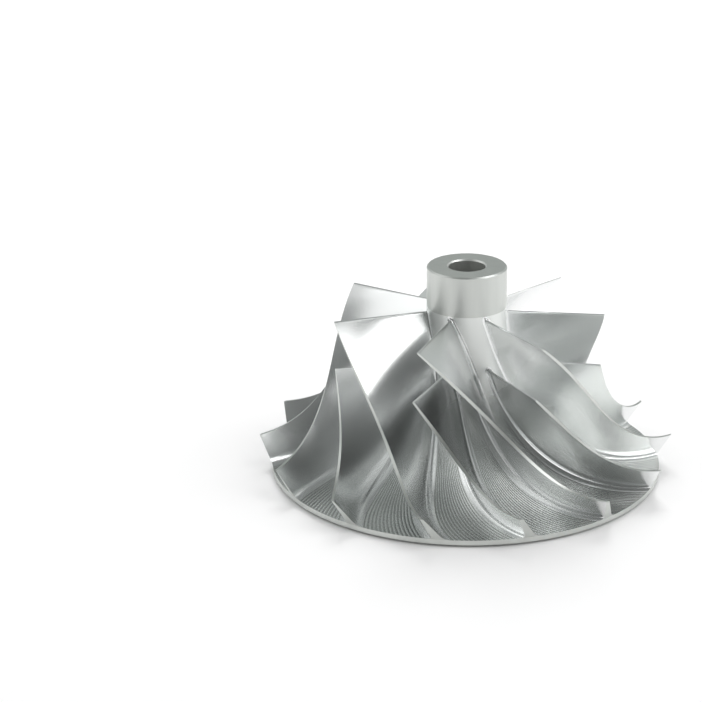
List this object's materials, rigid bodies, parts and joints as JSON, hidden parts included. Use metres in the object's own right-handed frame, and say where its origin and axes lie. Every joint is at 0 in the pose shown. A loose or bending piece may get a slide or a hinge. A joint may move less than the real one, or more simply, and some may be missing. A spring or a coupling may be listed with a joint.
{
  "type": "compressor wheel",
  "caption": "One-piece centrifugal compressor wheel with swept full blades, splitter blades between them, a tall plain nose and a shaft bore.",
  "frame": {"origin": "on the axis of rotation at the face of the back boss", "axes": "+Z along the axis of rotation from the back boss to the nose; -Y is the side seen first"},
  "size_m": [0.0904, 0.089, 0.0462],
  "materials": {
    "milled_aluminium": "milled and polished, with turned nose and rim"
  },
  "bodies": {
    "root": {"wheel": "milled_aluminium"}
  },
  "joints": []
}
